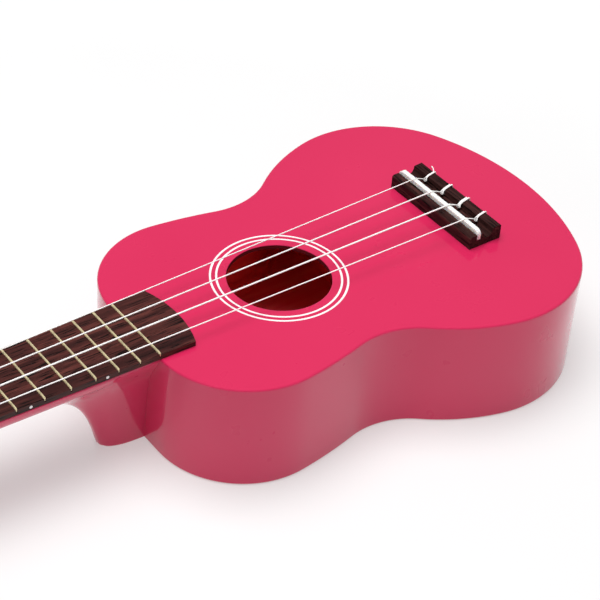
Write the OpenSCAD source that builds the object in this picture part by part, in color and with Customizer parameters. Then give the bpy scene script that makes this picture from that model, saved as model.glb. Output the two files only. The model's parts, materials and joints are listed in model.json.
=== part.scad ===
// Soprano ukulele lying on its back.
// X runs from the headstock to the tail, Y to the treble side, Z out of the soundboard.
// The modules draw in the luthier's frame: x = 0 at the nut, z = 0 on the soundboard's face.
// placed() moves them so that the origin is under the middle of the whole instrument.

/* [Scale] */
// Open string length the frets are set out from
scale_length = 346; // [340:1:350]
// Number of frets; the last one sits where the neck meets the body
fret_count = 12; // [10:1:12]

/* [Body] */
// Tail end of the body, from the nut
tail_x = 405; // [403:1:407]
// Depth from the soundboard's face to the back's outer face
body_depth = 57; // [52:1:62]
// Thickness of the soundboard and of the back
plate_t = 2.4; // [2:0.1:3]
// Thickness of the bent sides
rim_t = 2.2; // [1.8:0.1:2.6]
// Radius of the sound hole
hole_r = 25; // [22:0.5:26]
// Centre of the sound hole, from the nut
hole_x = 252.5; // [251:0.5:254]

/* [Neck] */
// Width of the neck at the nut
nut_w = 34.6; // [34:0.1:36]
// Width of the neck at the twelfth fret
joint_w = 41.7; // [41:0.1:42]
// Depth of the neck behind the fretboard
neck_t = 13.4; // [12:0.1:15]
// Thickness of the fretboard
board_t = 2.8; // [2.5:0.1:3.5]
// Height of a fret's crown
fret_h = 0.9; // [0.7:0.1:1.1]

/* [Headstock] */
// Length of the headstock's face
head_len = 118; // [112:1:124]
// Thickness of the headstock
head_t = 11; // [10:0.5:12]
// Backward tilt of the headstock in degrees
head_tilt = 12; // [10:1:14]
// Distance of the posts from the headstock's centre line
post_y = 17; // [16.5:0.1:17.5]

/* [Bridge] */
// Front edge of the bridge, from the nut
bridge_x = 343.4; // [343:0.1:345]
// Length of the bridge across the strings
bridge_w = 61.4; // [58:0.1:64]
// Height of the saddle's top above the soundboard
saddle_h = 9.3; // [9:0.1:9.6]

/* [Strings] */
// Spacing of the strings over the nut
nut_spacing = 9; // [8.5:0.1:9.2]
// Spacing of the strings over the saddle
saddle_spacing = 13.1; // [12.6:0.1:13.4]
// Height of the strings' centres at the nut above the soundboard
nut_string_z = 4.6; // [4.5:0.1:5]

/* [Hidden] */
$fn = 64;
gap = 0.02; // glued and seated faces stay this far apart where they are curved
cut = 1; // how far a cutting solid runs past the face that it opens

// ---- derived sizes ----
// Body outline from the tail to the neck: [radius, sweep] of tangent arcs, hollow where negative
outline_arcs = [[128, 25], [57, 79], [100, 24], [-40, 52], [240, 8], [45, 96]];
outline_step = 4; // longest chord along the outline
joint_x = half_outline(0)[len(half_outline(0)) - 1][0];
lining_w = 4;
lining_h = 7;
brace_t = 6;
brace_h = 8;
block_len = 18;
block_half = 20;
tail_block_len = 12;
dowel_r = 3;
dowel_z = [-18, -42];

nut_t = 4.5;
board_arc = 3.8; // how far the fretboard's end bows towards the sound hole
board_end = joint_x + 18.2;
saddle_t = 2.5;
saddle_x = bridge_x + 4.1; // front face of the saddle
saddle_floor = 4;
bridge_len = 19.2;
bridge_front_h = 7;
bridge_back_h = 8;
tie_z = 4.3; // height of the string holes through the tie block
tie_hole_r = 0.8;

string_r = [0.3, 0.43, 0.36, 0.28];
post_s = [36, 77, 77, 36]; // each string's post, along the headstock from the nut
string_rank = [-1.5, -0.5, 0.5, 1.5];

post_r = 3;
post_h = 12; // how far a post stands out of the headstock's face
winding_h = 5.4; // height of the middle turn above the headstock's face
turns = 5;
bush_r = 4.2;
bush_len = 7;
flange_r = 5.4;
flange_h = 1.2;

// Tuning machine: a single-start worm on the button's shaft turns a wheel on the post
teeth = 14;
gear_module = 0.6;
wheel_r = teeth * gear_module / 2;
wheel_t = 3;
wheel_addendum = 0.42;
worm_pitch = PI * gear_module;
worm_mean_r = 2.2;
worm_throw = 0.6; // half the thread's depth
worm_len = 7;
centre_distance = wheel_r + worm_mean_r + 0.12;
machine_t = 1; // sheet thickness of the base plate
shaft_r = 1.5;
running_gap = 0.05;
shaft_drop = machine_t + worm_mean_r + worm_throw + 0.5; // below the headstock's back
ear_y = 5; // inner faces of the ears that carry the shaft
plate_near = -6.5; // the plate's end beside the wheel
plate_far = centre_distance + 3.4;
plate_half = 7;
square_r = 1.7; // half the side of the post's squared end
screw_r = 1;
screw_head_r = 2;
plate_screw_xy = [[-4, -5], [-4, 5]];
button_len = 14;
button_w = 17;
button_t = 7;

head_half = 29; // half width of the headstock at the lower posts
head_reach = nut_t + head_len * cos(head_tilt);
mid_x = (tail_x - head_reach) / 2;

// ---- frames ----
// From the luthier's frame to the part's frame
module placed() {
    translate([-mid_x, 0, body_depth]) children();
}

// Headstock frame: x = 0 at the nut's back with the headstock on the -x side, z = 0 on its face
module on_head() {
    placed() translate([-nut_t, 0, 0]) rotate([0, -head_tilt, 0]) children();
}

// Machine frame of string i: origin where the post meets the headstock's back, button towards -y
module at_machine(i) {
    on_head() mirror([0, i < 2 ? 0 : 1, 0])
        translate([-post_s[i], -post_y, -head_t]) children();
}

// A point given in the headstock frame, as [along, y, height], in the luthier's frame
function head_point(p) = [
    -nut_t - p[0] * cos(head_tilt) - p[2] * sin(head_tilt),
    p[1],
    -p[0] * sin(head_tilt) + p[2] * cos(head_tilt)
];
// The same the other way round
function to_head(p) = [
    -(p[0] + nut_t) * cos(head_tilt) - p[2] * sin(head_tilt),
    p[1],
    -(p[0] + nut_t) * sin(head_tilt) + p[2] * cos(head_tilt)
];

// ---- outline functions ----
function arc_steps(radius, sweep) = ceil(abs(radius) * sweep * PI / 180 / outline_step);
// Points of arc i and of those after it, starting at p with heading h, moved inwards by inset
function arc_chain(inset, i, p, h) = i == len(outline_arcs) ? [] :
    let (
        r = outline_arcs[i][0] - inset,
        sweep = sign(r) * outline_arcs[i][1],
        steps = arc_steps(outline_arcs[i][0], outline_arcs[i][1]),
        centre = p + r * [-sin(h), cos(h)],
        points = [for (k = [1:steps]) let (a = h + sweep * k / steps) centre + r * [sin(a), -cos(a)]]
    ) concat(points, arc_chain(inset, i + 1, points[steps - 1], h + sweep));
// Treble half of the outline, from the tail to the flat that the heel stands on
function half_outline(inset) =
    concat([[tail_x - inset, 0]], arc_chain(inset, 0, [tail_x - inset, 0], 90));
function reversed(list) = [for (k = [len(list) - 1:-1:0]) list[k]];
function mirrored(list) = [for (p = list) [p[0], -p[1]]];
// One half of a strip that follows the outline between two insets
function half_strip(outer, inner) = concat(
    half_outline(outer), [[joint_x + outer, 0], [joint_x + inner, 0]], reversed(half_outline(inner))
);

module outline(inset) {
    half = half_outline(inset);
    polygon(concat(half, reversed(mirrored([for (k = [1:len(half) - 1]) half[k]]))));
}

module strip(outer, inner, side) {
    polygon(side > 0 ? half_strip(outer, inner) : reversed(mirrored(half_strip(outer, inner))));
}

// ---- small helpers ----
function width_at(x) = nut_w + (joint_w - nut_w) * x / joint_x;
function fret_x(n) = scale_length * (1 - pow(2, -n / 12));

// Solid through a list of rings that have the same number of points
module loft(rings) {
    count = len(rings[0]);
    last = len(rings) - 1;
    polyhedron(
        points = [for (ring = rings) each ring],
        faces = concat(
            [[for (k = [0:count - 1]) k]],
            [for (i = [0:last - 1]) each [for (k = [0:count - 1]) let (n = (k + 1) % count)
                [i * count + k, (i + 1) * count + k, (i + 1) * count + n, i * count + n]]],
            [[for (k = [count - 1:-1:0]) last * count + k]]
        )
    );
}

// Round tube with eight sides along a route
function unit(v) = v / norm(v);
function route_direction(route, i) =
    i == 0 ? unit(route[1] - route[0]) :
    i == len(route) - 1 ? unit(route[i] - route[i - 1]) :
    unit(unit(route[i + 1] - route[i]) + unit(route[i] - route[i - 1]));
function tube_ring(centre, direction, side, r) = let (up = cross(direction, side))
    [for (k = [0:7]) centre + r * (cos(45 * k) * side + sin(45 * k) * up)];
module tube(route, r) {
    loft([for (i = [0:len(route) - 1])
        let (direction = route_direction(route, i), side = unit(cross(direction, [0, 1, 0])))
        tube_ring(route[i], direction, side, r)]);
}

// ---- body ----
module soundboard() color("#e3386a") placed() difference() {
    translate([0, 0, -plate_t]) linear_extrude(plate_t) outline(0);
    translate([hole_x, 0, -plate_t - cut]) cylinder(h = plate_t + 2 * cut, r = hole_r);
    for (r = rosette_radii) ring_cut(r);
}

rosette_radii = [29.1, 32];
ring_w = 1.05;
ring_depth = 0.5;
ring_proud = 0.05;
module ring_cut(r) {
    translate([hole_x, 0, -ring_depth]) difference() {
        cylinder(h = ring_depth + cut, r = r + ring_w);
        translate([0, 0, -cut]) cylinder(h = ring_depth + 3 * cut, r = r);
    }
}

module rosette_rings() color("white") placed() for (r = rosette_radii)
    translate([hole_x, 0, -ring_depth]) difference() {
        cylinder(h = ring_depth + ring_proud, r = r + ring_w - gap);
        translate([0, 0, -cut]) cylinder(h = ring_depth + 2 * cut, r = r + gap);
    }

module back() color("#e3386a") placed()
    translate([0, 0, -body_depth]) linear_extrude(plate_t) outline(0);

rim_floor = -body_depth + plate_t;
rim_h = body_depth - 2 * plate_t;
module rim(side) color("#e3386a") placed() difference() {
    translate([0, 0, rim_floor]) linear_extrude(rim_h) strip(0, rim_t, side);
    dowel_bores();
}

module lining_pair(floor_z) color("#c9a273") placed() difference() {
    for (side = [-1, 1])
        translate([0, 0, floor_z]) linear_extrude(lining_h) strip(rim_t, rim_t + lining_w, side);
    translate([joint_x - cut, -block_half - gap, floor_z - cut])
        cube([block_len + rim_t + cut + gap, 2 * (block_half + gap), lining_h + 2 * cut]);
    translate([tail_x - rim_t - tail_block_len - gap, -block_half - gap, floor_z - cut])
        cube([tail_block_len + 2 * rim_t, 2 * (block_half + gap), lining_h + 2 * cut]);
}
module top_linings() lining_pair(-plate_t - lining_h);
module back_linings() lining_pair(rim_floor);

module neck_block() color("#c9a273") placed() difference() {
    translate([joint_x + rim_t, -block_half, rim_floor]) cube([block_len, 2 * block_half, rim_h]);
    dowel_bores();
}

module tail_block() color("#c9a273") placed() intersection() {
    translate([0, 0, rim_floor]) linear_extrude(rim_h) outline(rim_t);
    translate([tail_x - rim_t - tail_block_len, -block_half, rim_floor])
        cube([tail_block_len + cut, 2 * block_half, rim_h]);
}

// Bar across the body, trimmed to the space between the linings
module cross_bar(x, floor_z, height) intersection() {
    translate([0, 0, floor_z]) linear_extrude(height) outline(rim_t + lining_w + 2 * gap);
    translate([x - brace_t / 2, -body_depth * 2, floor_z]) cube([brace_t, body_depth * 4, height]);
}
module upper_top_brace() color("#d8b483") placed()
    cross_bar(hole_x - hole_r - 16, -plate_t - brace_h, brace_h);
module lower_top_brace() color("#d8b483") placed()
    cross_bar(hole_x + hole_r + 16, -plate_t - brace_h, brace_h);
module back_braces() color("#d8b483") placed() for (x = [hole_x - 34, hole_x + 66])
    cross_bar(x, rim_floor, brace_h);

bridge_plate_t = 1.6;
module bridge_plate() color("#d8b483") placed()
    translate([bridge_x - 4, -35, -plate_t - bridge_plate_t]) cube([bridge_len + 8, 70, bridge_plate_t]);

// ---- bridge and saddle ----
// Side profile: front land with the saddle's slot, a hollowed channel, then the tie block
cove_steps = 10;
cove_x = 10.9;
cove_half = 3;
cove_floor = 3.5;
block_x = cove_x + cove_half + 0.1;
tie_edge = 0.5; // bevel that the strings wrap over
bridge_profile = concat(
    [[0, 0], [0, bridge_front_h - 0.8], [0.8, bridge_front_h], [4.1, bridge_front_h],
     [4.1, saddle_floor], [4.1 + saddle_t, saddle_floor], [4.1 + saddle_t, bridge_front_h]],
    [for (k = [0:cove_steps]) let (a = 180 + 180 * k / cove_steps)
        [cove_x + cove_half * cos(a), bridge_front_h + (bridge_front_h - cove_floor) * sin(a)]],
    [[block_x, 7.7], [bridge_len - tie_edge, bridge_back_h],
     [bridge_len, bridge_back_h - tie_edge], [bridge_len, 0]]
);
module bridge() color("#3b1f1c") placed() difference() {
    translate([bridge_x, bridge_w / 2, 0]) rotate([90, 0, 0]) linear_extrude(bridge_w)
        polygon(bridge_profile);
    for (i = [0:3])
        translate([bridge_x + cove_x, string_rank[i] * saddle_spacing, tie_z])
            rotate([0, 90, 0]) cylinder(h = bridge_len, r = tie_hole_r);
}

saddle_corner_r = 3;
saddle_corner = [for (a = [0:11.25:90]) [
    bridge_w / 2 - saddle_corner_r * (1 - cos(a)),
    saddle_h - saddle_floor - saddle_corner_r * (1 - sin(a))
]];
module saddle() color("ivory") placed()
    translate([saddle_x + gap, 0, saddle_floor]) rotate([90, 0, 90])
        linear_extrude(saddle_t - 2 * gap) polygon(concat(
            [[-bridge_w / 2, gap], [bridge_w / 2, gap]], saddle_corner,
            reversed([for (p = saddle_corner) [-p[0], p[1]]])
        ));

// ---- neck ----
// Heel profile behind the neck as a Bezier curve of [x, depth]
heel_start = 100;
heel_nose = joint_x - 20.7;
foot_depth = body_depth;
heel_curve = [[heel_start, neck_t], [135, neck_t + 1.6], [146, 26], [heel_nose, foot_depth]];
function bezier(c, t) = c[0] * pow(1 - t, 3) + 3 * c[1] * t * pow(1 - t, 2)
    + 3 * c[2] * t * t * (1 - t) + c[3] * pow(t, 3);
heel_steps = 12;
// Where the heel's nose is at each depth
nose_table = concat([[0, 55]], [for (k = [0:heel_steps])
    let (p = bezier(heel_curve, k / heel_steps)) [p[1], p[0]]]);
// Half width of the heel where it meets the body
function heel_half(depth) = 7.6 + (joint_w / 2 - 9.6) * exp(-depth / 18);
// The heel is U-shaped in plan, with its nose towards the headstock
function u_shape(q) = q <= 0 ? 0 : pow(1 - pow(1 - min(q, 1), 2.3), 1 / 2.3);
function heel_y(x, depth) = let (nose = lookup(depth, nose_table))
    heel_half(depth) * u_shape((x - nose) / (joint_x - nose));
// The neck is D-shaped, and squarer where it meets the headstock
function neck_y(x, depth) = let (
        squareness = 2 + 6 * pow(max(0, 1 - (x + nut_t) / 28), 2),
        full = neck_depth(x)
    ) depth >= full ? 0 : width_at(max(x, 0)) / 2 * pow(1 - pow(depth / full, squareness), 1 / squareness);
function neck_depth(x) = head_t + (neck_t - head_t) * min(1, (x + nut_t) / 28);
// The larger of two half widths, with the crease between them filled in
function blended(a, b) = pow(pow(a, 24) + pow(b, 24), 1 / 24);
ring_steps = 12;
// Half a section at x from the top edge to the keel, as [y, depth]
function half_section(x, deepest) = [for (k = [0:ring_steps - 1])
    let (depth = deepest * sin(90 * k / ring_steps)) [blended(neck_y(x, depth), heel_y(x, depth)), depth]];
function neck_ring(x, deepest, tilt) = let (half = half_section(x, deepest)) concat(
    [for (p = half) [x + p[1] * sin(tilt), p[0], -p[1] * cos(tilt)]],
    [[x + deepest * sin(tilt), 0, -deepest * cos(tilt)]],
    [for (p = reversed(half)) [x + p[1] * sin(tilt), -p[0], -p[1] * cos(tilt)]]
);
neck_rings = concat(
    [neck_ring(-nut_t, head_t, head_tilt)],
    [for (x = [5, 12, 20, 30, 60, heel_start]) neck_ring(x, neck_depth(x), 0)],
    [for (k = [1:heel_steps]) let (p = bezier(heel_curve, k / heel_steps)) neck_ring(p[0], p[1], 0)],
    [for (x = [1.5, 4, 8, 13, joint_x - heel_nose]) neck_ring(heel_nose + x, foot_depth, 0)]
);
module neck() color("#e3386a") placed() difference() {
    loft(neck_rings);
    dowel_bores();
}

// Dowels pin the heel to the neck block through the rim
dowel_from = joint_x - 12;
dowel_len = 12 + rim_t + 10;
module dowel_bores() for (z = dowel_z)
    translate([dowel_from - 0.5, 0, z]) rotate([0, 90, 0]) cylinder(h = dowel_len + 1, r = dowel_r + 0.05);
module neck_dowels() color("#c9a273") placed() for (z = dowel_z)
    translate([dowel_from, 0, z]) rotate([0, 90, 0]) cylinder(h = dowel_len, r = dowel_r);

// ---- fretboard, frets, nut ----
board_steps = 10;
board_half_end = width_at(board_end) / 2;
board_outline = concat(
    [[0, -nut_w / 2]],
    [for (k = [0:board_steps]) let (q = 2 * k / board_steps - 1)
        [board_end + board_arc * (1 - q * q), q * board_half_end]],
    [[0, nut_w / 2]]
);
slot_w = 0.6;
slot_depth = 1.6;
dot_r = 0.8;
dot_depth = 1.5;
dot_frets = [5, 7, 10];
function dot_x(n) = (fret_x(n) + fret_x(n - 1)) / 2;
module fretboard() color("#3a2420") placed() difference() {
    linear_extrude(board_t) polygon(board_outline);
    for (n = [1:fret_count])
        translate([fret_x(n) - slot_w / 2, -joint_w, board_t - slot_depth])
            cube([slot_w, 2 * joint_w, slot_depth + cut]);
    side_dot_pins(dot_r + gap, cut);
}

module side_dot_pins(r, extra) for (n = dot_frets)
    translate([dot_x(n), -width_at(dot_x(n)) / 2 + dot_depth, board_t / 2]) rotate([90, 0, 0])
        cylinder(h = dot_depth + extra, r = r);
module side_dots() color("white") placed() side_dot_pins(dot_r, 0);

crown_half = 0.7;
fret_profile = concat(
    [[-slot_w / 2 + gap, 0], [-slot_w / 2 + gap, -slot_depth + 0.1],
     [slot_w / 2 - gap, -slot_depth + 0.1], [slot_w / 2 - gap, 0]],
    [for (a = [0:22.5:180]) [crown_half * cos(a), fret_h * sin(a)]]
);
module frets() color("#d9c48a") placed() for (n = [1:fret_count]) {
    half = width_at(fret_x(n)) / 2 - 0.1;
    translate([fret_x(n), half, board_t]) rotate([90, 0, 0]) linear_extrude(2 * half)
        polygon(fret_profile);
}

nut_h = nut_string_z + 0.2;
nut_profile = [[0, 0], [0, nut_h], [-1.6, nut_h], [-nut_t, nut_h - 1.3], [-nut_t, 0]];
module nut() color("ivory") placed() difference() {
    translate([0, nut_w / 2, 0]) rotate([90, 0, 0]) linear_extrude(nut_w) polygon(nut_profile);
    for (i = [0:3]) nut_slot(i);
}
// Slot under string i, sloping down towards the string's post
module nut_slot(i) {
    away = string_end(i) - nut_point(i);
    slope = away[2] / norm([away[0], away[1]]);
    half = string_r[i] + 0.15;
    floor_z = -string_r[i] - 0.1;
    back_x = -2 * nut_t;
    translate(nut_point(i)) rotate([0, 0, atan2(-away[1], -away[0])]) translate([0, half, 0])
        rotate([90, 0, 0]) linear_extrude(2 * half) polygon([
            [cut, cut], [cut, floor_z], [0, floor_z],
            [back_x, floor_z - back_x * slope], [back_x, cut]
        ]);
}

// ---- headstock ----
// Face outline as [distance from the nut, half width], flared behind the nut and bowed at the tip
flare_steps = 8;
flare_len = 24;
tip_steps = 12;
tip_bow = 5;
tip_half = 31;
corner_r = 7;
head_side = concat(
    [for (k = [0:flare_steps]) let (q = k / flare_steps)
        [flare_len * q, nut_w / 2 + (head_half - nut_w / 2) * (1 - cos(180 * q)) / 2]],
    [for (a = [0:15:75])
        [head_len - tip_bow - corner_r + corner_r * sin(a), tip_half - corner_r + corner_r * cos(a)]],
    [for (k = [0:tip_steps / 2]) let (q = 1 - 2 * k / tip_steps)
        [head_len - tip_bow * q * q, q * (tip_half - corner_r)]]
);
head_outline = concat(
    [for (p = head_side) [-p[0], p[1]]],
    reversed([for (p = head_side) if (p[1] > 0) [-p[0], -p[1]]])
);
module headstock() color("#e3386a") on_head() difference() {
    translate([0, 0, -head_t]) linear_extrude(head_t) polygon(head_outline);
    for (i = [0:3]) translate([-post_s[i], sign(string_rank[i]) * post_y, -head_t - cut]) {
        cylinder(h = head_t + 2 * cut, r = post_r + 0.4);
        translate([0, 0, head_t + cut - bush_len]) cylinder(h = bush_len + cut, r = bush_r + gap);
    }
    for (i = [0:3]) mirror([0, i < 2 ? 0 : 1, 0])
        translate([-post_s[i], -post_y, -head_t]) plate_screw_shanks(screw_r + gap, 7.5, cut);
}

// ---- tuning machines ----
module post_bushes() color("silver") on_head() for (i = [0:3])
    translate([-post_s[i], sign(string_rank[i]) * post_y, 0]) difference() {
        union() {
            translate([0, 0, -bush_len]) cylinder(h = bush_len, r = bush_r);
            cylinder(h = flange_h, r = flange_r);
        }
        translate([0, 0, -bush_len - cut])
            cylinder(h = bush_len + flange_h + 2 * cut, r = post_r + running_gap);
    }

module plate_screw_shanks(r, depth, extra) for (p = plate_screw_xy)
    translate([p[0], p[1], -machine_t - extra]) cylinder(h = machine_t + extra + depth, r = r);

module plate_screws() color("silver") for (i = [0:3]) at_machine(i) difference() {
    union() {
        plate_screw_shanks(screw_r, 7, 0);
        for (p = plate_screw_xy) translate([p[0], p[1], -machine_t - 1])
            cylinder(h = 1, r1 = screw_head_r * 0.7, r2 = screw_head_r);
    }
    for (p = plate_screw_xy) translate([p[0], p[1], -machine_t - 1 - cut]) cross_recess();
}

// Recess for a cross-head driver
module cross_recess() for (turn = [0, 90]) rotate(turn)
    translate([-1.1, -0.2, 0]) cube([2.2, 0.4, cut + 0.5]);

// Base plate with two ears that carry the shaft
module tuner_plate(i) color("silver") at_machine(i) difference() {
    union() {
        translate([plate_near, -plate_half, -machine_t])
            cube([plate_far - plate_near, 2 * plate_half, machine_t]);
        for (y = [-ear_y - machine_t, ear_y])
            translate([centre_distance - 3, y, -shaft_drop]) cube([6, machine_t, shaft_drop - machine_t / 2]);
        for (y = [-ear_y - machine_t, ear_y])
            translate([centre_distance, y, -shaft_drop]) rotate([-90, 0, 0]) cylinder(h = machine_t, r = 3);
    }
    translate([0, 0, -machine_t - cut]) cylinder(h = machine_t + 2 * cut, r = post_r + 0.2);
    translate([0, 0, -machine_t - cut]) plate_screw_holes();
    translate([centre_distance, -ear_y - machine_t - cut, -shaft_drop]) rotate([-90, 0, 0])
        cylinder(h = 2 * (ear_y + machine_t + cut), r = shaft_r + running_gap);
}
module plate_screw_holes() for (p = plate_screw_xy)
    translate([p[0], p[1], 0]) cylinder(h = machine_t + 2 * cut, r = screw_r + 0.1);

// Shaft with its worm: an off-centre disc, twisted once for each pitch
post_y_to_edge = tip_half - post_y;
shaft_in = ear_y + machine_t + 0.8;
shaft_out = post_y_to_edge + 12;
worm_phase = 180;
worm_sides = 20;
worm_slices = 16; // in one turn
module worm_shaft(i) color("silver") at_machine(i)
    translate([centre_distance, 0, -shaft_drop]) union() {
        translate([0, shaft_in, 0]) rotate([90, 0, 0]) cylinder(h = shaft_in + shaft_out, r = shaft_r);
        translate([0, worm_len / 2, 0]) rotate([90, 0, 0])
            linear_extrude(worm_len, twist = -360 * worm_len / worm_pitch,
                slices = round(worm_slices * worm_len / worm_pitch), $fn = worm_sides)
                rotate(worm_phase) translate([worm_throw, 0]) circle(r = worm_mean_r, $fn = worm_sides);
    }

// Flat oval button moulded onto the shaft's end
button_gap = 4; // between the headstock's side and the button
button_y = post_y_to_edge + button_gap;
stem_r = 3;
module tuner_button(i) color("ivory") at_machine(i)
    translate([centre_distance, -button_y, -shaft_drop]) difference() {
        union() {
            rotate([90, 0, 0]) cylinder(h = 4, r = stem_r);
            translate([0, -3 - button_len / 2, -button_t / 2]) linear_extrude(button_t) button_outline();
        }
        translate([0, cut, 0]) rotate([90, 0, 0])
            cylinder(h = shaft_out - button_y + cut + 0.2, r = shaft_r + gap);
    }
module button_outline() union() {
    lobe = button_w - button_len;
    for (side = [-1, 1]) translate([side * lobe / 2, 0]) circle(d = button_len);
    square([lobe, button_len], center = true);
}

// Post with a squared end for the wheel and a cross hole for the string
square_from = -shaft_drop + wheel_t / 2 + 0.5;
module string_post(i) color("silver") at_machine(i) difference() {
    union() {
        translate([0, 0, square_from]) cylinder(h = head_t + post_h - 0.6 - square_from, r = post_r);
        translate([0, 0, head_t + post_h - 0.6]) cylinder(h = 0.6, r1 = post_r, r2 = post_r - 0.6);
        translate([-square_r, -square_r, -shaft_drop - wheel_t / 2])
            cube([2 * square_r, 2 * square_r, wheel_t + 1]);
    }
    translate([0, 0, -shaft_drop - wheel_t / 2 - cut]) cylinder(h = 6, r = screw_r + gap);
    translate([-post_r - cut, 0, head_t + winding_h + 1.5]) rotate([0, 90, 0])
        cylinder(h = 2 * (post_r + cut), r = 0.8);
}

// Wheel with waved teeth, in mesh with the worm at rest
tooth_points = 8;
wheel_phase = 9.2; // brings a gap between two teeth to the worm's thread
module worm_wheel(i) color("#c9a23f") at_machine(i)
    translate([0, 0, -shaft_drop - wheel_t / 2]) difference() {
        linear_extrude(wheel_t) polygon([for (k = [0:teeth * tooth_points - 1])
            let (a = 360 * k / (teeth * tooth_points), r = wheel_r - 0.2 + wheel_addendum * cos(teeth * a))
            r * [cos(a + wheel_phase), sin(a + wheel_phase)]]);
        translate([-square_r - gap, -square_r - gap, -cut])
            cube([2 * (square_r + gap), 2 * (square_r + gap), wheel_t + 2 * cut]);
    }

wheel_screw_head = 1.2;
module wheel_screw(i) color("silver") at_machine(i)
    translate([0, 0, -shaft_drop - wheel_t / 2]) difference() {
        union() {
            cylinder(h = 4.5, r = screw_r);
            translate([0, 0, -wheel_screw_head]) cylinder(h = wheel_screw_head, r = 2.5);
        }
        translate([0, 0, -wheel_screw_head - cut]) cross_recess();
    }

// Outer shape of the turns of string on a post
module winding(i) color("whitesmoke") at_machine(i)
    translate([0, 0, head_t + winding_h - turns * string_r[i]]) rotate_extrude()
        translate([post_r + gap, 0]) square([2 * string_r[i], 2 * string_r[i] * turns]);

// ---- strings ----
function nut_point(i) = [0, string_rank[i] * nut_spacing, nut_string_z];
// Point where string i meets its winding, on the post's inner side
function string_end(i) = let (
        from = to_head(nut_point(i)),
        side = sign(string_rank[i]),
        reach = post_r + 3 * string_r[i] + 0.12,
        to_nut = [from[0] - post_s[i], from[1] - side * post_y],
        turn = atan2(to_nut[1], to_nut[0]) - side * acos(reach / norm(to_nut))
    ) head_point([post_s[i] + reach * cos(turn), side * post_y + reach * sin(turn),
        winding_h - (turns - 1) * string_r[i]]);
// Route behind the saddle: down to the hole, through the tie block and back over its top
function tie_route(i) = let (
        r = string_r[i], y = string_rank[i] * saddle_spacing, back = bridge_x + bridge_len
    )
    [[saddle_x + saddle_t + 0.15, y, saddle_h + r],
     [bridge_x + cove_x + 1.4, y, tie_z + 0.15],
     [back - 1, y, tie_z],
     [back + r + 0.2, y, tie_z + 0.2],
     [back + r + 0.3, y + 0.4, tie_z + 1.2],
     [back + r + 0.15, y + 0.8, bridge_back_h - tie_edge],
     [back - 0.3, y + 1, bridge_back_h + r + 0.1],
     [bridge_x + block_x, y + 1.3, bridge_back_h + r + 0.02],
     [bridge_x + block_x - r - 0.42, y + 1.3, bridge_back_h - 0.5],
     [bridge_x + block_x - r - 0.5, y + 1.3, bridge_back_h - 1.8]];
module uke_string(i) color("whitesmoke") placed()
    tube(concat(
        [string_end(i), nut_point(i),
         [saddle_x + 0.2, string_rank[i] * saddle_spacing, saddle_h + string_r[i] + gap]],
        tie_route(i)
    ), string_r[i]);

soundboard();
back();
rim(-1);  // rim_bass
rim(1);  // rim_treble
top_linings();
back_linings();
neck_block();
tail_block();
upper_top_brace();
lower_top_brace();
bridge_plate();
back_braces();
rosette_rings();
bridge();
saddle();
fretboard();
frets();
nut();
side_dots();
neck();
headstock();
neck_dowels();
post_bushes();
plate_screws();
uke_string(0);  // string_g
uke_string(1);  // string_c
uke_string(2);  // string_e
uke_string(3);  // string_a
tuner_plate(0);  // tuner_plate_g
tuner_plate(1);  // tuner_plate_c
tuner_plate(2);  // tuner_plate_e
tuner_plate(3);  // tuner_plate_a
worm_shaft(0);  // worm_shaft_g
worm_shaft(1);  // worm_shaft_c
worm_shaft(2);  // worm_shaft_e
worm_shaft(3);  // worm_shaft_a
tuner_button(0);  // tuner_button_g
tuner_button(1);  // tuner_button_c
tuner_button(2);  // tuner_button_e
tuner_button(3);  // tuner_button_a
string_post(0);  // string_post_g
string_post(1);  // string_post_c
string_post(2);  // string_post_e
string_post(3);  // string_post_a
worm_wheel(0);  // worm_wheel_g
worm_wheel(1);  // worm_wheel_c
worm_wheel(2);  // worm_wheel_e
worm_wheel(3);  // worm_wheel_a
wheel_screw(0);  // wheel_screw_g
wheel_screw(1);  // wheel_screw_c
wheel_screw(2);  // wheel_screw_e
wheel_screw(3);  // wheel_screw_a
winding(0);  // winding_g
winding(1);  // winding_c
winding(2);  // winding_e
winding(3);  // winding_a
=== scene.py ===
"""Looks of a soprano ukulele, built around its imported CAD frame. Lengths in metres unless a name says mm."""
import json
import math

import bmesh
import bpy
import numpy as np
from mathutils import Matrix, Vector

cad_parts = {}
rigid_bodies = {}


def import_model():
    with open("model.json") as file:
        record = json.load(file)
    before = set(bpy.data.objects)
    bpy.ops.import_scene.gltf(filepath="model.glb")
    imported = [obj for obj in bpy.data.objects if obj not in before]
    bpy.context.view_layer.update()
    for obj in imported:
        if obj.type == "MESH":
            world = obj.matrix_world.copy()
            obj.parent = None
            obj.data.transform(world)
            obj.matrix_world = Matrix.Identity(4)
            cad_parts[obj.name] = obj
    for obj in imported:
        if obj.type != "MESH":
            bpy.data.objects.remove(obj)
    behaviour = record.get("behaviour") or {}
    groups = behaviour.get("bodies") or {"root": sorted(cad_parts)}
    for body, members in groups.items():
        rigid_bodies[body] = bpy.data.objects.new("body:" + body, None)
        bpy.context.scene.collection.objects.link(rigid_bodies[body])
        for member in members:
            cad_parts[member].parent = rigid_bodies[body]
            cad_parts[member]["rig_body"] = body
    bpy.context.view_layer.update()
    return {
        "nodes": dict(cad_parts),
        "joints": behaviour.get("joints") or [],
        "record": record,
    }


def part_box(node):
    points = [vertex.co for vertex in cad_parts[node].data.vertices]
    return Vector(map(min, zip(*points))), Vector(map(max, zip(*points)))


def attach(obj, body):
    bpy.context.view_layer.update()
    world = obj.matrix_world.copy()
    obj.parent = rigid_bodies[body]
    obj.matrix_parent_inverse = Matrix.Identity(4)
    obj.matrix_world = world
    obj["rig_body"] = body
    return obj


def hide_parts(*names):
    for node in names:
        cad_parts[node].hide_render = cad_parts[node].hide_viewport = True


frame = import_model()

MM = 0.001
STRINGS = "gcea"
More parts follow.
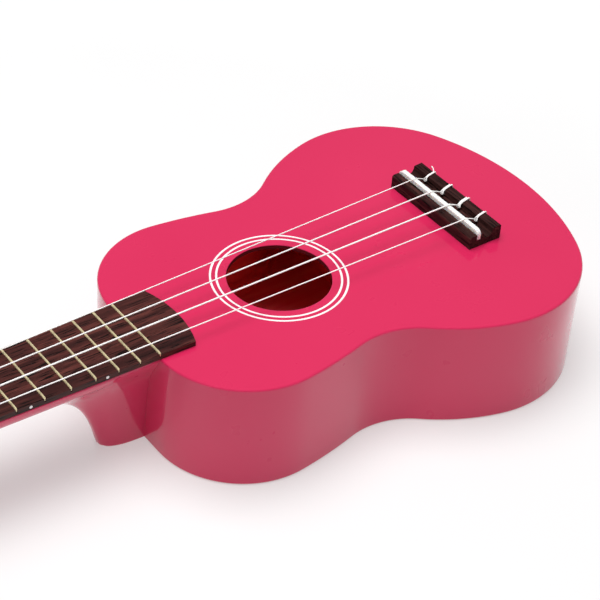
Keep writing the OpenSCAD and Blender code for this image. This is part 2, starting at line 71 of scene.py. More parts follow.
SLOT_OF = {entry["node"]: entry["material_slot"] for entry in frame["record"]["subparts"]}
JOINTS = {joint["name"]: joint for joint in frame["joints"]}

# ---- places, all from the frame ----
BACK_LOW, BACK_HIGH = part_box("back")
TOP_LOW, TOP_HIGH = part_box("soundboard")
_, BOARD_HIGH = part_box("fretboard")
RING_LOW, RING_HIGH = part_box("rosette_rings")
BRIDGE_LOW, BRIDGE_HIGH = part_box("bridge")
_, SADDLE_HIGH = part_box("saddle")
_, NUT_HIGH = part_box("nut")
FACE_Z = TOP_HIGH.z
HOLE_CENTRE = Vector(((RING_LOW.x + RING_HIGH.x) / 2, 0, FACE_Z))
JOINT_X = TOP_LOW.x

# ---- sizes of the finish ----
HOLE_RADIUS = 25 * MM
EDGE_ROUND = 1.2 * MM        # round of the sound box's outer edges
EDGE_STEPS = 5
FACE_BORDER = 4 * MM         # from the outline to the ring of points where a flat face ends
HOLE_LIP = 0.35 * MM         # round of the sound hole's upper edge
SIDE_WALL = 2.2 * MM
NECK_SEAT = 1.3 * MM         # how far the neck's end reaches into the sound box's wall


# ---- camera, at the photograph's viewing angle ----
CAMERA_PLACE = Vector((-0.33760, -0.57504, 0.62367))
CAMERA_AZIMUTH, CAMERA_ELEVATION, CAMERA_ROLL = -38.725, 38.493, 4.470
CAMERA_LENS = 117.94


def add_camera():
    azimuth, elevation, roll = (math.radians(a) for a in (CAMERA_AZIMUTH, CAMERA_ELEVATION, CAMERA_ROLL))
    back = Vector((math.sin(azimuth) * math.cos(elevation),
                   -math.cos(azimuth) * math.cos(elevation), math.sin(elevation)))
    level = Vector((math.cos(azimuth), math.sin(azimuth), 0))
    upright = back.cross(level)
    right = level * math.cos(roll) + upright * math.sin(roll)
    up = upright * math.cos(roll) - level * math.sin(roll)
    camera = bpy.data.cameras.new("camera")
    camera.sensor_width = 36
    camera.lens = CAMERA_LENS
    holder = bpy.data.objects.new("camera", camera)
    turn = Matrix((right, up, back)).transposed().to_4x4()
    holder.matrix_world = Matrix.Translation(CAMERA_PLACE) @ turn
    bpy.context.scene.collection.objects.link(holder)
    bpy.context.scene.camera = holder


# ---- light and floor ----
FLOOR_HALF = 6.0
FLOOR_Z = -0.2 * MM


LAMP_PLACE, LAMP_TARGET = Vector((0.0, 0.1, 1.7)), Vector((0.1, 0, 0))
LAMP_SIZE = (1.5, 1.2)
LAMP_WATTS = 37
SKY = ((0.03, 1.0), (0.10, 0.24))    # height of a direction, and how bright the sky is there


def add_lamp():
    """A wide lamp overhead, which no glossy surface mirrors."""
    lamp = bpy.data.lights.new("overhead", "AREA")
    lamp.shape = "RECTANGLE"
    lamp.size, lamp.size_y = LAMP_SIZE
    lamp.energy = LAMP_WATTS
    holder = bpy.data.objects.new("overhead", lamp)
    holder.location = LAMP_PLACE
    holder.rotation_euler = (LAMP_TARGET - LAMP_PLACE).to_track_quat("-Z", "Y").to_euler()
    holder.visible_glossy = False
    bpy.context.scene.collection.objects.link(holder)


def add_sky():
    """A white band at the horizon under a grey dome."""
    world = bpy.data.worlds.new("studio")
    bpy.context.scene.world = world
    world.use_nodes = True
    nodes, links = world.node_tree.nodes, world.node_tree.links
    place = nodes.new("ShaderNodeTexCoord")
    split = nodes.new("ShaderNodeSeparateXYZ")
    height = nodes.new("ShaderNodeValToRGB")
    for element, (position, level) in zip(height.color_ramp.elements, SKY):
        element.position = position
        element.color = (level, level, level, 1)
    links.new(place.outputs["Generated"], split.inputs[0])
    links.new(split.outputs["Z"], height.inputs["Fac"])
    links.new(height.outputs["Color"], nodes["Background"].inputs["Color"])
    nodes["Background"].inputs["Strength"].default_value = 1.0


def add_floor():
    corners = [(x * FLOOR_HALF, y * FLOOR_HALF, 0) for x, y in ((-1, -1), (1, -1), (1, 1), (-1, 1))]
    floor = mesh_object("floor", corners, [(0, 1, 2, 3)])
    floor.location.z = FLOOR_Z
    floor.data.materials.append(material_floor())


def add_studio():
    bpy.context.scene.view_settings.view_transform = "Standard"
    add_sky()
    add_lamp()
    add_floor()


# ---- node material helpers ----
class Shade:
    """A node material on one Principled shader, with noise in object space."""

    def __init__(self, name, color, roughness, **constants):
        self.material = bpy.data.materials.new(name)
        self.material.use_nodes = True
        self.nodes = self.material.node_tree.nodes
        self.links = self.material.node_tree.links
        self.shader = self.nodes["Principled BSDF"]
        self.set("Base Color", (*color, 1))
        self.set("Roughness", roughness)
        for key, value in constants.items():
            self.set(key.replace("_", " "), value)

    def set(self, socket, value):
        self.shader.inputs[socket].default_value = value

    def noise(self, scale, stretch=(1, 1, 1), detail=3, rough=0.55, distortion=0):
        place = self.nodes.new("ShaderNodeTexCoord")
        mapping = self.nodes.new("ShaderNodeMapping")
        mapping.inputs["Scale"].default_value = stretch
        noise = self.nodes.new("ShaderNodeTexNoise")
        noise.inputs["Scale"].default_value = scale
        noise.inputs["Detail"].default_value = detail
        noise.inputs["Roughness"].default_value = rough
        noise.inputs["Distortion"].default_value = distortion
        self.links.new(place.outputs["Object"], mapping.inputs["Vector"])
        self.links.new(mapping.outputs["Vector"], noise.inputs["Vector"])
        return noise.outputs["Fac"]

    def ramp(self, source, *stops):
        ramp = self.nodes.new("ShaderNodeValToRGB")
        elements = ramp.color_ramp.elements
        while len(elements) < len(stops):
            elements.new(0.5)
        for element, (position, color) in zip(elements, stops):
            element.position = position
            element.color = (*color, 1) if hasattr(color, "__len__") else (color, color, color, 1)
        self.links.new(source, ramp.inputs["Fac"])
        return ramp.outputs["Color"]

    def mix(self, factor, first, second):
        mix = self.nodes.new("ShaderNodeMix")
        mix.data_type = "RGBA"
        for socket, value in ((mix.inputs[0], factor), (mix.inputs[6], first), (mix.inputs[7], second)):
            if isinstance(value, bpy.types.NodeSocket):
                self.links.new(value, socket)
            else:
                socket.default_value = value
        return mix.outputs[2]

    def color(self, source):
        self.links.new(source, self.shader.inputs["Base Color"])

    def roughness(self, source, low, high):
        spread = self.nodes.new("ShaderNodeMapRange")
        spread.inputs["To Min"].default_value = low
        spread.inputs["To Max"].default_value = high
        self.links.new(source, spread.inputs["Value"])
        self.links.new(spread.outputs["Result"], self.shader.inputs["Roughness"])

    def bump(self, source, height_mm):
        bump = self.nodes.new("ShaderNodeBump")
        bump.inputs["Strength"].default_value = 1.0
        bump.inputs["Distance"].default_value = height_mm * MM
        self.links.new(source, bump.inputs["Height"])
        self.links.new(bump.outputs["Normal"], self.shader.inputs["Normal"])


# ---- materials ----
def material_floor():
    """Pale and plain, and lit partly from itself: weak shadows near by, and no fall-off far out."""
    shade = Shade("floor", (0.50, 0.50, 0.50), 0.6, Emission_Strength=1.0)
    shade.color(shade.ramp(shade.noise(3), (0.3, (0.49, 0.49, 0.49)), (0.7, (0.51, 0.51, 0.51))))
    place = shade.nodes.new("ShaderNodeTexCoord")
    length = shade.nodes.new("ShaderNodeVectorMath")
    length.operation = "LENGTH"
    shade.links.new(place.outputs["Object"], length.inputs[0])
    reach = shade.nodes.new("ShaderNodeMapRange")
    reach.inputs["From Min"].default_value = 0.35
    reach.inputs["From Max"].default_value = 2.0
    shade.links.new(length.outputs["Value"], reach.inputs["Value"])
    glow = shade.ramp(reach.outputs["Result"], (0.0, 0.38), (1.0, 0.95))
    shade.links.new(glow, shade.shader.inputs["Emission Color"])
    return shade.material


def material_lacquer():
    shade = Shade("pink_lacquer", (0.61, 0.018, 0.09), 0.28, Specular_IOR_Level=0.15,
                  Coat_Weight=1.0, Coat_Roughness=0.01, Coat_IOR=1.42)
    tone = shade.noise(9, detail=2)
    shade.color(shade.ramp(tone, (0.3, (0.595, 0.017, 0.086)), (0.7, (0.625, 0.021, 0.094))))
    shade.roughness(shade.noise(60), 0.24, 0.34)
    return shade.material


def material_bare_wood():
    """Reddish, as the inside looks through the sound hole."""
    shade = Shade("bare_wood", (0.95, 0.11, 0.11), 0.7)
    grain = shade.noise(60, stretch=(0.25, 4, 4), detail=5, distortion=0.6)
    shade.color(shade.ramp(grain, (0.3, (0.90, 0.06, 0.08)), (0.55, (0.95, 0.11, 0.11)),
                           (0.8, (0.97, 0.22, 0.14))))
    shade.bump(grain, 0.08)
    return shade.material


def rosewood(name, dark, mid, streak, stretch, fineness, gloss):
    """Dark wood: streaks and fine open pores along the direction in which stretch is smallest."""
    shade = Shade(name, mid, 0.5, Specular_IOR_Level=gloss)
    figure = shade.noise(fineness, stretch=stretch, detail=6, rough=0.65, distortion=0.35)
    base = shade.ramp(figure, (0.30, dark), (0.5, mid), (0.72, streak))
    pores = shade.noise(1500, stretch=stretch, detail=2, rough=0.4)
    open_pores = shade.ramp(pores, (0.36, 0.0), (0.44, 1.0))
    patches = shade.noise(45, stretch=stretch, detail=3)
    toned = shade.mix(0.35, base, shade.ramp(patches, (0.35, dark), (0.65, streak)))
    shade.color(shade.mix(open_pores, (dark[0] * 0.3, dark[1] * 0.3, dark[2] * 0.3, 1), toned))
    shade.roughness(pores, 0.34, 0.6)
    shade.bump(open_pores, 0.06)
    return shade.material


def material_plastic(name, color, roughness, shift=0.04, glow=0.0):
    shade = Shade(name, color, roughness, Coat_Weight=0.3, Coat_Roughness=0.08, Subsurface_Weight=glow,
                  Subsurface_Scale=2.5 * MM, Subsurface_Radius=(1, 0.95, 0.85))
    cloud = shade.noise(220, detail=4, distortion=0.8)
    paler = tuple(min(1, c + shift) for c in color)
    darker = tuple(c - shift for c in color)
    shade.color(shade.ramp(cloud, (0.35, darker), (0.65, paler)))
    shade.bump(cloud, 0.01)
    return shade.material


def material_pearl():
    shade = Shade("pearl_plastic", (0.86, 0.85, 0.82), 0.16, Coat_Weight=0.8, Coat_Roughness=0.04)
    swirl = shade.noise(150, detail=5, distortion=3.0)
    shade.color(shade.ramp(swirl, (0.32, (0.74, 0.73, 0.72)), (0.5, (0.88, 0.87, 0.84)),
                           (0.66, (0.95, 0.94, 0.92))))
    shade.bump(swirl, 0.02)
    return shade.material


def material_metal(name, color, roughness, metallic=1.0):
    shade = Shade(name, color, roughness, Metallic=metallic)
    haze = shade.noise(900, stretch=(1, 0.2, 1), detail=4)
    shade.color(shade.ramp(haze, (0.3, tuple(c * 0.9 for c in color)), (0.7, color)))
    shade.roughness(haze, roughness * 0.7, roughness * 1.4)
    shade.bump(haze, 0.003)
    return shade.material


def material_nylon():
    shade = Shade("nylon", (0.97, 0.95, 0.94), 0.3, IOR=1.53)
    shade.color(shade.ramp(shade.noise(60, detail=1), (0.3, (0.965, 0.94, 0.93)), (0.7, (0.98, 0.96, 0.95))))
    return shade.material


def material_hole_wall_shade():
    """The sawn edge of the sound hole, coloured dark as painted shade for the shadow that falls on it inside
    the hole.
    """
    shade = Shade("hole_wall_painted_shade", (0.14, 0.010, 0.014), 0.85, Specular_IOR_Level=0.1)
    layers = shade.noise(300, stretch=(0.1, 0.1, 6), detail=2)
    shade.color(shade.ramp(layers, (0.35, (0.11, 0.008, 0.012)), (0.65, (0.17, 0.013, 0.018))))
    return shade.material


ALONG_X = (0.06, 1, 1)
ALONG_Y = (1, 0.06, 1)
MATERIALS = {
    "pink_lacquer": material_lacquer(),
    "bare_wood": material_bare_wood(),
    "rosewood": rosewood("rosewood", (0.016, 0.005, 0.005), (0.060, 0.016, 0.015), (0.200, 0.054, 0.042),
                         ALONG_X, 330, 0.22),
    "dark_rosewood": rosewood("dark_rosewood", (0.003, 0.001, 0.001), (0.013, 0.004, 0.005),
                              (0.130, 0.046, 0.040), ALONG_Y, 420, 0.12),
    "ivory_plastic": material_plastic("ivory_plastic", (0.95, 0.945, 0.89), 0.3, 0.015, 0.7),
    "white_inlay": material_plastic("white_inlay", (0.90, 0.86, 0.86), 0.2),
    "pearl_plastic": material_pearl(),
    "fret_wire": material_metal("fret_wire", (0.98, 0.85, 0.52), 0.3, metallic=0.5),
    "bright_plating": material_metal("bright_plating", (0.78, 0.78, 0.78), 0.14),
    "brass_wheel": material_metal("brass_wheel", (0.80, 0.58, 0.26), 0.28),
    "nylon": material_nylon(),
    "hole_wall_painted_shade": material_hole_wall_shade(),
}


# ---- mesh helpers ----
SHARP_ANGLE = math.radians(28)


def circle(count):
    """Angles of evenly spaced points round a circle."""
    return [2 * math.pi * k / count for k in range(count)]


def mesh_object(name, verts, faces):
    mesh = bpy.data.meshes.new(name)
    mesh.from_pydata([tuple(v) for v in verts], [], faces)
    mesh.validate()
    item = bpy.data.objects.new(name, mesh)
    bpy.context.scene.collection.objects.link(item)
    return item


def link_mesh(name, work):
    """Turns a bmesh into an object of the scene."""
    mesh = bpy.data.meshes.new(name)
    work.to_mesh(mesh)
    work.free()
    item = bpy.data.objects.new(name, mesh)
    bpy.context.scene.collection.objects.link(item)
    return item


def cad_copy(node):
    """The CAD node's mesh with its doubled points joined."""
    work = bmesh.new()
    work.from_mesh(frame["nodes"][node].data)
    bmesh.ops.remove_doubles(work, verts=work.verts, dist=0.002 * MM)
    return work


def shade_smooth(item, angle=32):
    item.data.polygons.foreach_set("use_smooth", [True] * len(item.data.polygons))
    item.data.set_sharp_from_angle(angle=math.radians(angle))
    even = item.modifiers.new("even_shading", "WEIGHTED_NORMAL")
    even.keep_sharp = True


def dress(item, node, inside=()):
    """Gives a piece the slot and body of the CAD node that it stands for; inside names more materials."""
    for name in (SLOT_OF[node], *inside):
        item.data.materials.append(MATERIALS[name])
    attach(item, frame["nodes"][node]["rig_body"])
    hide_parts(node)


def outward(item):
    work = bmesh.new()
    work.from_mesh(item.data)
    bmesh.ops.recalc_face_normals(work, faces=work.faces)
    work.to_mesh(item.data)
    work.free()
    return item


def skin(rings, closed_stack=False):
    """Quads between rings of equal length. An open stack is capped at its first and last ring."""
    count = len(rings[0])
    verts = [p for ring in rings for p in ring]
    faces = []
    stack = len(rings)
    for i in range(stack if closed_stack else stack - 1):
        j = (i + 1) % stack
        for k in range(count):
            n = (k + 1) % count
            faces.append((i * count + k, i * count + n, j * count + n, j * count + k))
    if not closed_stack:
        faces.append(tuple(range(count)))
        faces.append(tuple((stack - 1) * count + k for k in reversed(range(count))))
    return verts, faces


def spline(points, per_span, closed=False):
    """Catmull-Rom curve through the points."""
    points = [Vector(p) for p in points]
    count = len(points)
    curve = []
    for i in range(count if closed else count - 1):
        if closed:
            a, b, c, d = (points[(i + k) % count] for k in (-1, 0, 1, 2))
        else:
            a, b, c, d = (points[min(max(i + k, 0), count - 1)] for k in (-1, 0, 1, 2))
        for step in range(per_span):
            t = step / per_span
            curve.append(0.5 * (2 * b + (c - a) * t + (2 * a - 5 * b + 4 * c - d) * t * t
                                + (3 * b - a - 3 * c + d) * t ** 3))
    if not closed:
        curve.append(points[-1])
    return curve


def tube_mesh(path, radius, sides):
    """Round tube along a path, with its frame carried along so that it doesn't twist."""
    rings = []
    side = None
    for i, centre in enumerate(path):
        along = (path[min(i + 1, len(path) - 1)] - path[max(i - 1, 0)]).normalized()
        if side is None:
            side = along.orthogonal().normalized()
        side = (side - along * side.dot(along)).normalized()
        up = along.cross(side)
        rings.append([centre + radius * (side * math.cos(a) + up * math.sin(a)) for a in circle(sides)])
    return skin(rings)


def softened(node, width_mm, segments=2):
    """A copy of a CAD node with rounded edges, which replaces it."""
    work = cad_copy(node)
    bmesh.ops.dissolve_limit(work, angle_limit=math.radians(1), verts=work.verts, edges=work.edges)
    sharp = [e for e in work.edges if len(e.link_faces) == 2 and e.calc_face_angle(0) > SHARP_ANGLE]
    bmesh.ops.bevel(work, geom=sharp, offset=width_mm * MM, offset_type="OFFSET", segments=segments,
                    profile=0.5, affect="EDGES", clamp_overlap=True)
    bmesh.ops.recalc_face_normals(work, faces=work.faces)
    item = link_mesh(node + "_finish", work)
    shade_smooth(item)
    dress(item, node)


def loose_boxes(node):
    """Lowest and highest corner of each separate solid in a CAD node."""
    work = cad_copy(node)
    left = set(work.verts)
    boxes = []
    while left:
        group = [left.pop()]
        reach = list(group)
        while reach:
            for edge in reach.pop().link_edges:
                for other in edge.verts:
                    if other in left:
                        left.remove(other)
                        group.append(other)
                        reach.append(other)
        places = np.array([v.co[:] for v in group])
        boxes.append((Vector(places.min(0)), Vector(places.max(0))))
    work.free()
    return sorted(boxes, key=lambda box: tuple(box[0]))


# ---- sound box ----
def body_outline():
    """Outline of the soundboard as a smooth dense loop, read from its CAD solid."""
    clear_of_rings = (RING_HIGH.x - RING_LOW.x) / 2 + 4 * MM
    spacing = 4 * MM
    corners = set()
    for vert in frame["nodes"]["soundboard"].data.vertices:
        flat = Vector((vert.co.x - HOLE_CENTRE.x, vert.co.y))
        if vert.co.z > FACE_Z - 0.1 * MM and flat.length > clear_of_rings:
            corners.add((round(vert.co.x, 7), round(vert.co.y, 7)))
    loop = sorted(corners, key=lambda p: math.atan2(p[1], p[0] - HOLE_CENTRE.x))
    filled = []
    for here, there in zip(loop, loop[1:] + loop[:1]):
        steps = max(1, round(math.dist(here, there) / spacing))
        filled += [(here[0] + (there[0] - here[0]) * s / steps, here[1] + (there[1] - here[1]) * s / steps)
                   for s in range(steps)]
    return spline([(x, y, 0) for x, y in filled], 3, closed=True)


def outline_normals(loop):
    normals = []
    for i in range(len(loop)):
        along = loop[(i + 1) % len(loop)] - loop[i - 1]
        normals.append(Vector((along.y, -along.x, 0)).normalized())
    return normals


OUTLINE = body_outline()
OUTWARD = outline_normals(OUTLINE)


def outline_ring(inset, z):
    return [p - n * inset + Vector((0, 0, z)) for p, n in zip(OUTLINE, OUTWARD)]


def edge_rings(face_z, sign):
    """Rings of a rounded edge, from the flat face to the wall; sign is +1 on a top edge."""
    rings = []
    for k in range(EDGE_STEPS + 1):
        a = math.pi / 2 * k / EDGE_STEPS
        drop = EDGE_ROUND * (1 - math.cos(a))
        rings.append(outline_ring(EDGE_ROUND * (1 - math.sin(a)), face_z - sign * drop))
    return rings


def paint_faces(item, test, index=1):
    """Faces whose centre and normal pass the test get another of the piece's materials."""
    for face in item.data.polygons:
        if test(face.center, face.normal):
            face.material_index = index


def hole_ring(radius, z):
    return [Vector((HOLE_CENTRE.x, 0, z)) + radius * Vector((p.x - HOLE_CENTRE.x, p.y, 0)).normalized()
            for p in OUTLINE]


def add_top():
    low = TOP_LOW.z
    rings = [hole_ring(HOLE_RADIUS, low), hole_ring(HOLE_RADIUS, FACE_Z - HOLE_LIP)]
    rings += [hole_ring(HOLE_RADIUS + HOLE_LIP * (1 - math.cos(a)), FACE_Z - HOLE_LIP * (1 - math.sin(a)))
              for a in (math.pi / 8, math.pi / 4, math.pi * 3 / 8, math.pi / 2)]
    rings += [outline_ring(FACE_BORDER, FACE_Z)] + edge_rings(FACE_Z, 1) + [outline_ring(0, low)]
    item = outward(mesh_object("soundboard_finish", *skin(rings, closed_stack=True)))
    dress(item, "soundboard", inside=["bare_wood", "hole_wall_painted_shade"])
    paint_faces(item, lambda centre, normal: normal.z < -0.9)
    # The hole's wall gets the third material: a dark colour that is painted shade.
    paint_faces(item, lambda centre, normal: abs(normal.z) < 0.1
                and math.hypot(centre.x - HOLE_CENTRE.x, centre.y) < HOLE_RADIUS + 0.02 * MM, 2)
    shade_smooth(item)


def add_back():
    rings = [outline_ring(0, BACK_HIGH.z)] + edge_rings(BACK_LOW.z, -1)[::-1]
    rings += [outline_ring(FACE_BORDER, BACK_LOW.z)]
    item = outward(mesh_object("back_finish", *skin(rings)))
    dress(item, "back", inside=["bare_wood"])
    paint_faces(item, lambda centre, normal: normal.z > 0.9)
    shade_smooth(item)


def add_rim(node, keep):
    inner_high, inner_low = outline_ring(SIDE_WALL, TOP_LOW.z), outline_ring(SIDE_WALL, BACK_HIGH.z)
    outer_high, outer_low = outline_ring(0, TOP_LOW.z), outline_ring(0, BACK_HIGH.z)
    order = sorted((k for k in range(len(OUTLINE)) if keep(OUTLINE[k].y)),
                   key=lambda k: math.atan2(abs(OUTLINE[k].y), OUTLINE[k].x - HOLE_CENTRE.x))
    rings = [[outer_high[k], outer_low[k], inner_low[k], inner_high[k]] for k in order]
    item = outward(mesh_object(node + "_finish", *skin(rings)))
    dress(item, node, inside=["bare_wood"])
    hollow = [(OUTLINE[k].x, OUTLINE[k].y, OUTWARD[k]) for k in order]

    def faces_in(centre, normal):
        near = min(hollow, key=lambda h: (h[0] - centre.x) ** 2 + (h[1] - centre.y) ** 2)
        return abs(normal.z) < 0.5 and normal.dot(near[2]) < 0
    paint_faces(item, faces_in)
    shade_smooth(item)


# ---- neck ----
DOWELS = loose_boxes("neck_dowels")
CREASE_ANGLE = math.radians(50)


def in_dowel_bore(face):
    """Whether a face of the CAD neck belongs to a blind bore for a dowel."""
    for low, high in DOWELS:
        radius, height = (high.z - low.z) / 2 + 0.3 * MM, (high.z + low.z) / 2
        if all(v.co.x > low.x - 0.6 * MM and math.hypot(v.co.y, v.co.z - height) < radius
               for v in face.verts):
            return True
    return False


def add_neck():
    """The CAD neck without its bores, seated in the sound box's wall, and with its surface subdivided."""
    work = cad_copy("neck")
    bored = [f for f in work.faces if in_dowel_bore(f)]
    end = [f for f in work.faces if f not in bored and all(v.co.x > JOINT_X - 0.01 * MM for v in f.verts)]
    bmesh.ops.delete(work, geom=bored + end, context="FACES")
    bmesh.ops.join_triangles(work, faces=work.faces, angle_face_threshold=math.radians(35),
                             angle_shape_threshold=math.radians(60))
    pushed = bmesh.ops.extrude_edge_only(work, edges=[e for e in work.edges if e.is_boundary])["geom"]
    pushed_verts = [g for g in pushed if isinstance(g, bmesh.types.BMVert)]
    bmesh.ops.translate(work, verts=pushed_verts, vec=(NECK_SEAT, 0, 0))
    bmesh.ops.holes_fill(work, edges=[e for e in work.edges if e.is_boundary], sides=0)
    crease = work.edges.layers.float.new("crease_edge")
    for edge in work.edges:
        if len(edge.link_faces) == 2 and edge.calc_face_angle(0) > CREASE_ANGLE:
            edge[crease] = 0.9
    bmesh.ops.recalc_face_normals(work, faces=work.faces)
    item = link_mesh("neck_finish", work)
    smooth = item.modifiers.new("smooth", "SUBSURF")
    smooth.levels = smooth.render_levels = 2
    item.data.polygons.foreach_set("use_smooth", [True] * len(item.data.polygons))
    dress(item, "neck")


# ---- frets ----
FRET_END_GAP = 0.2 * MM      # from the fret's end to the fretboard's edge
FRET_NARROWING = 0.8         # share of the CAD crown's width
TANG_DEPTH, TANG_HALF = 1.2 * MM, 0.2 * MM
CROWN_SIDES = 10


def fret_rings(low, high):
    """Sections of one fret from end to end: a round crown that sinks toward its ends, on a thin tang."""
    middle, half = (low.x + high.x) / 2, (high.y - low.y) / 2 - FRET_END_GAP
    wide, crown = FRET_NARROWING * (high.x - low.x) / 2, high.z - BOARD_HIGH.z
    rise = [(-half, 0.30), (-half + 0.15 * MM, 0.62), (-half + 0.5 * MM, 0.9), (-half + 1.1 * MM, 1)]
    rings = []
    for y, share in rise + [(-y, share) for y, share in reversed(rise)]:
        rings.append([Vector((middle + wide * math.cos(a) * (0.75 + 0.25 * share), y,
                              BOARD_HIGH.z + crown * share * math.sin(a)))
                      for a in (math.pi * k / CROWN_SIDES for k in range(CROWN_SIDES + 1))]
                     + [Vector((middle + x, y, BOARD_HIGH.z - TANG_DEPTH)) for x in (-TANG_HALF, TANG_HALF)])
    return rings


def add_frets():
    verts, faces = [], []
    for low, high in loose_boxes("frets"):
        new_verts, new_faces = skin(fret_rings(low, high))
        faces += [tuple(i + len(verts) for i in face) for face in new_faces]
        verts += new_verts
    item = outward(mesh_object("frets_finish", verts, faces))
    dress(item, "frets")
    shade_smooth(item, 40)


# ---- strings ----
POST_AXIS = Vector(JOINTS["post_g_turn"]["axis"]).normalized()
HEAD_LONG = Vector((POST_AXIS.z, 0, -POST_AXIS.x))
STRING_RADIUS = {"g": 0.30 * MM, "c": 0.43 * MM, "e": 0.36 * MM, "a": 0.28 * MM}
NUT_SPACING, SADDLE_SPACING = 9 * MM, 13.1 * MM
POST_RADIUS = 3 * MM
WINDING_TURNS = 5
STRING_SIDES, WINDING_SIDES = 12, 10
SADDLE_BACK = 4.3            # the saddle's crest, in mm behind the bridge's front
TIE_FRONT, TIE_REAR = 14, 19.2    # the tie block's top, in mm behind the bridge's front
TIE_HOLE_HEIGHT = 4.3 * MM
KNOT_RADIUS = 0.8 * MM


def winding_middle(letter):
    low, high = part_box("winding_" + letter)
    return (low + high) / 2


def nut_bend(letter):
    rank = STRINGS.index(letter) - 1.5
    return Vector((NUT_HIGH.x, rank * NUT_SPACING, NUT_HIGH.z - 0.2 * MM))


def string_start(letter):
    """Point where the string meets the bottom turn of its winding, on the post's inner side."""
    r = STRING_RADIUS[letter]
    middle = winding_middle(letter) - POST_AXIS * (WINDING_TURNS - 1) * r
    toward = nut_bend(letter) - middle
    side = 1 if middle.y > 0 else -1
    x, y = toward.dot(HEAD_LONG), toward.y
    reach = POST_RADIUS + r
    turn = math.atan2(y, x) - side * math.acos(reach / math.hypot(x, y))
    return middle + HEAD_LONG * reach * math.cos(turn) + Vector((0, reach * math.sin(turn), 0)), turn


def string_path(letter):
    """Post, nut, saddle, through the tie block, back over its top, round itself and over the top again."""
    r = STRING_RADIUS[letter]
    y = (STRINGS.index(letter) - 1.5) * SADDLE_SPACING
    bend = nut_bend(letter)
    start, _ = string_start(letter)
    front, rear = BRIDGE_LOW.x, BRIDGE_HIGH.x
    top, hole = BRIDGE_HIGH.z, BRIDGE_LOW.z + TIE_HOLE_HEIGHT
    crest = SADDLE_HIGH.z + r
    lay = 1.05 * r / MM          # half the distance of two strands side by side, in mm

    def at(x_mm, dy_mm, z):
        return Vector((front + x_mm * MM, y + dy_mm * MM, z))

    def over(x_mm, side):
        """On the tie block's top, beside the other strand."""
        share = (x_mm - TIE_FRONT) / (TIE_REAR - TIE_FRONT)
        return at(x_mm, 0.3 + 0.9 * share + side * lay, top + r - 0.3 * MM * (1 - share))

    def loop(a):
        """Round the string, in front of the tie block."""
        return at(12.5 + 0.4 * math.sin(a), 0.1 + KNOT_RADIUS / MM * math.cos(a),
                  hole + 2.2 * MM + KNOT_RADIUS * math.sin(a))

    to_nut = [start, start.lerp(bend, 0.5), bend + (start - bend).normalized() * 1.2 * MM,
              bend + Vector((0.8 * MM, 0, 0.02 * MM))]
    span = [bend.lerp(at(SADDLE_BACK, 0, crest), t) for t in (0.25, 0.5, 0.75, 0.97)]
    behind = [at(5.35, 0, crest + 0.03 * MM), at(6.5, 0, crest - 0.35 * MM),
              at(9.5, 0, crest - 1.5 * MM), at(12.5, 0, hole + 2.1 * MM), at(13.4, 0, hole + 0.9 * MM),
              at(14.6, 0, hole), at(18, 0, hole)]
    turn_back = [Vector((rear + r + 0.35 * MM, y + 0.2 * MM, hole + 0.5 * MM)),
                 Vector((rear + r + 0.3 * MM, y + 0.8 * MM, top - 1.3 * MM)),
                 Vector((rear + r * 0.7 - 0.1 * MM, y + (1.2 - lay) * MM, top + r * 0.5)),
                 over(18.2, -1), over(16.4, -1), over(14.6, -1), at(13.5, 0.3 - lay, top - 0.5 * MM)]
    knot = [loop(math.radians(a)) for a in (120, 180, 240, 300, 360, 400)]
    tuck = [at(13.5, 0.3 + lay, top - 0.4 * MM), over(14.6, 1), over(16.4, 1), over(18.4, 1)]
    if letter == "a":
        tuck += [Vector((rear + 0.1 * MM, y + 2.6 * MM, top + 0.9 * MM)),
                 Vector((rear + 0.1 * MM, y + 4.1 * MM, top + 1.7 * MM))]
    return to_nut + span + behind + turn_back + knot + tuck


def add_string(letter):
    curve = spline(string_path(letter), 6)
    verts, faces = tube_mesh(curve, STRING_RADIUS[letter], STRING_SIDES)
    item = outward(mesh_object(f"string_{letter}_finish", verts, faces))
    dress(item, "string_" + letter)
    shade_smooth(item, 60)


def add_winding(letter):
    """A helix of string round the post, whose end dives into the post's cross hole."""
    r = STRING_RADIUS[letter]
    _, turn = string_start(letter)
    side = 1 if winding_middle(letter).y > 0 else -1
    base = winding_middle(letter) - POST_AXIS * (WINDING_TURNS - 1) * r
    steps = 28 * WINDING_TURNS
    path = []
    for share in (k / steps for k in range(steps + 1)):
        a = turn + side * 2 * math.pi * (WINDING_TURNS - 0.35) * share
        out = HEAD_LONG * math.cos(a) + Vector((0, math.sin(a), 0))
        path.append(base + POST_AXIS * 2 * r * (WINDING_TURNS - 1) * share + (POST_RADIUS + r) * out)
    inward = (base - path[-1]) - POST_AXIS * (base - path[-1]).dot(POST_AXIS)
    path += [path[-1] + inward * 0.35 + POST_AXIS * r, path[-1] + inward * 0.9 + POST_AXIS * r * 1.5]
    item = outward(mesh_object(f"winding_{letter}_finish", *tube_mesh(path, r, WINDING_SIDES)))
    dress(item, "winding_" + letter)
    shade_smooth(item, 60)


# ---- tuning buttons ----
BUTTON_STEM = 3.4 * MM
BUTTON_HALF_LONG, BUTTON_HALF_THICK = 8.4 * MM, 3.4 * MM
BUTTON_ROWS, BUTTON_COLUMNS = 20, 40
# Stem's distance out from the button's inner end, and its radius there, in mm
STEM_PROFILE = [(0.0, 2.0), (0.0, 2.75), (0.25, 2.95), (1.2, 2.95), (2.2, 2.5), (3.6, 2.6), (5.0, 3.1)]
STEM_SIDES = 32


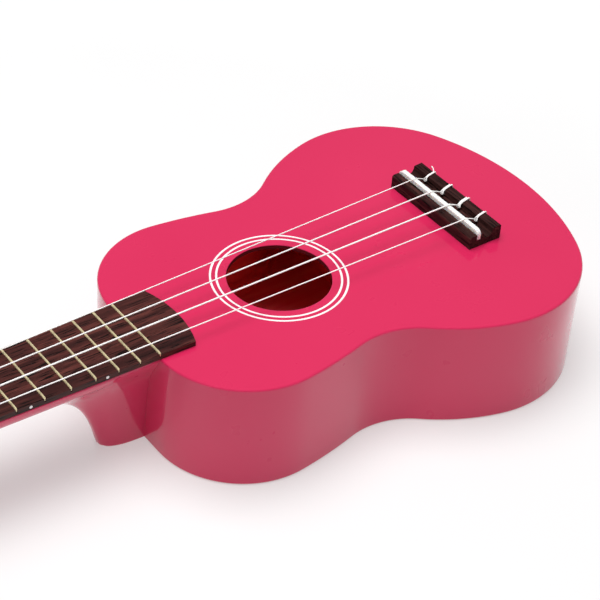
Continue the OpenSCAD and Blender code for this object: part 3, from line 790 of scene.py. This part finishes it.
def pad_rings(centre, half_out):
    """The button's oval pad, as flattened rings from one face to the other."""
    rings = []
    for a in (math.pi * i / BUTTON_ROWS for i in range(1, BUTTON_ROWS)):
        flat = math.sin(a) ** 0.55
        height = BUTTON_HALF_THICK * math.copysign(abs(math.cos(a)) ** 0.8, math.cos(a))
        ring = []
        for b in circle(BUTTON_COLUMNS):
            reach = flat * (abs(math.cos(b)) ** 2.6 + abs(math.sin(b)) ** 2.6) ** (-1 / 2.6)
            ring.append(centre + HEAD_LONG * BUTTON_HALF_LONG * reach * math.cos(b)
                        + Vector((0, half_out * reach * math.sin(b), 0)) + POST_AXIS * height)
        rings.append(ring)
    return rings


def add_button(letter):
    """A soft oval button on a short stem, inside the CAD button's box."""
    low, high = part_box("tuner_button_" + letter)
    joint = JOINTS[f"knob_{letter}_turn"]
    side = joint["axis"][1]
    axis_point = Vector(joint["pos_m"])
    near, far = (low.y, high.y) if side > 0 else (high.y, low.y)
    pad_near = near + side * BUTTON_STEM
    centre = Vector((axis_point.x, (pad_near + far) / 2, axis_point.z))
    verts, faces = skin(pad_rings(centre, abs(far - pad_near) / 2))
    stem_rings = [[Vector((axis_point.x, near + side * out * MM, axis_point.z))
                   + radius * MM * (HEAD_LONG * math.cos(b) + POST_AXIS * math.sin(b))
                   for b in circle(STEM_SIDES)] for out, radius in STEM_PROFILE]
    stem_verts, stem_faces = skin(stem_rings)
    faces += [tuple(i + len(verts) for i in face) for face in stem_faces]
    item = outward(mesh_object(f"tuner_button_{letter}_finish", verts + stem_verts, faces))
    dress(item, "tuner_button_" + letter)
    shade_smooth(item, 45)


# ---- everything ----
add_camera()
add_studio()
add_top()
add_back()
add_rim("rim_bass", lambda y: y < 1e-6)
add_rim("rim_treble", lambda y: y > -1e-6)
add_neck()
softened("headstock", 1.0, 4)
softened("fretboard", 0.25)
softened("nut", 0.35, 3)
softened("bridge", 0.2, 3)
softened("saddle", 0.25, 3)
softened("side_dots", 0.1)
add_frets()
for letter in STRINGS:
    add_string(letter)
    add_winding(letter)
    add_button(letter)
    softened("tuner_plate_" + letter, 0.15)
    softened("string_post_" + letter, 0.12)
    softened("worm_wheel_" + letter, 0.06)
    softened("wheel_screw_" + letter, 0.12)
softened("post_bushes", 0.3, 3)
softened("plate_screws", 0.12)

for node, item in frame["nodes"].items():
    if not item.hide_render:
        item.data.materials.clear()
        item.data.materials.append(MATERIALS[SLOT_OF[node]])
